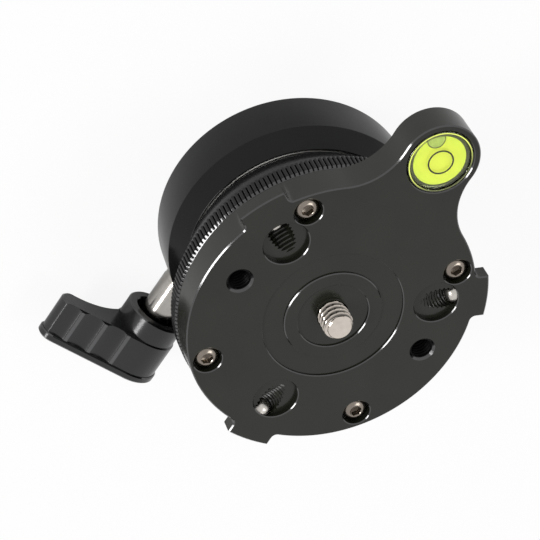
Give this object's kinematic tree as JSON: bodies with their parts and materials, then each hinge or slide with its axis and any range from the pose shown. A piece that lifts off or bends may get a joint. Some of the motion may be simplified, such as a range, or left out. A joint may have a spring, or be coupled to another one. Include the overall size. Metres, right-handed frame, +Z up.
{
  "type": "leveling base",
  "caption": "Low round bowl with a tilting half ball under a flat head plate, a bubble level on an ear, a camera stud in the middle and a side lever that clamps the ball.",
  "frame": {"origin": "centre of the base's underside, at the mouth of the tripod socket", "axes": "+Z up along the axis of the bowl, +X outwards along the clamp shaft, towards the lever"},
  "size_m": [0.0903, 0.0672, 0.0434],
  "materials": {
    "black_anodised": "satin black anodised, bright cut edges",
    "black_cast": "satin black, blasted",
    "bright_steel": "bright machined",
    "dark_steel": "dark oxide",
    "brass": "machined",
    "white_plastic": "matte, smooth",
    "clear_plastic": "clear, polished",
    "green_fluid": "clear yellow-green"
  },
  "bodies": {
    "base": {"bowl_body": "black_anodised", "base_plate": "black_anodised", "base_screw_1": "dark_steel", "base_screw_2": "dark_steel", "base_screw_3": "dark_steel", "centre_post": "bright_steel", "hold_down_cap": "brass", "disc_spring_1": "dark_steel", "disc_spring_2": "dark_steel", "hold_down_nut": "dark_steel"},
    "swivel": {"seat_liner": "white_plastic"},
    "tilt": {"ball_liner": "white_plastic"},
    "head": {"half_ball": "black_anodised", "knurled_ring": "black_anodised", "head_plate": "black_anodised", "plate_screw_1": "bright_steel", "plate_screw_2": "bright_steel", "plate_screw_3": "bright_steel", "plate_screw_4": "bright_steel", "camera_stud": "bright_steel", "level_cup": "clear_plastic", "level_fluid": "green_fluid", "level_lens": "clear_plastic"},
    "set_1": {"set_screw_1": "bright_steel"},
    "set_2": {"set_screw_2": "bright_steel"},
    "set_3": {"set_screw_3": "bright_steel"},
    "shaft": {"clamp_shaft": "bright_steel", "shaft_spline": "dark_steel", "lever_screw": "bright_steel", "lever_spring": "bright_steel"},
    "lever": {"clamp_lever": "black_cast"},
    "shoe": {"clamp_shoe": "brass"}
  },
  "joints": [
    {"name": "lean_heading", "type": "hinge", "parent": "base", "child": "swivel", "pos_m": [0, 0, 0.033], "axis": [0, 0, 1], "continuous": true},
    {"name": "head_lean", "type": "hinge", "parent": "swivel", "child": "tilt", "pos_m": [0, 0, 0.033], "axis": [-0.9516, -0.3074, 0], "range_deg": [-18.4, 11.6]},
    {"name": "head_pan", "type": "hinge", "parent": "tilt", "child": "head", "pos_m": [0, 0, 0.033], "axis": [-0.0182, 0.0564, 0.9982], "continuous": true},
    {"name": "set_screw_1_turn_in", "type": "slide", "parent": "head", "child": "set_1", "axis": [0.4182, 0.7898, 0.4486], "range_m": [0, 0.0035]},
    {"name": "set_screw_2_turn_in", "type": "slide", "parent": "head", "child": "set_2", "axis": [-0.8832, 0.0147, 0.4687], "range_m": [0, 0.0035]},
    {"name": "set_screw_3_turn_in", "type": "slide", "parent": "head", "child": "set_3", "axis": [0.4385, -0.7225, 0.5345], "range_m": [0, 0.0035]},
    {"name": "clamp_turn", "type": "hinge", "parent": "base", "child": "shaft", "pos_m": [0.03, -0.0156, 0.0076], "axis": [1, 0, 0], "range_deg": [-30, 15]},
    {"name": "lever_lift", "type": "slide", "parent": "shaft", "child": "lever", "axis": [1, 0, 0], "range_m": [0, 0.0025], "stiffness_N_per_m": 300, "springref_m": -0.002, "deforming": ["lever_spring"]},
    {"name": "shoe_push", "type": "slide", "parent": "base", "child": "shoe", "axis": [1, 0, 0], "range_m": [-0.000126, 0.000063]}
  ],
  "couplings": [
    {"joint": "shoe_push", "follows": "clamp_turn", "m_per_rad": 0.000239}
  ]
}
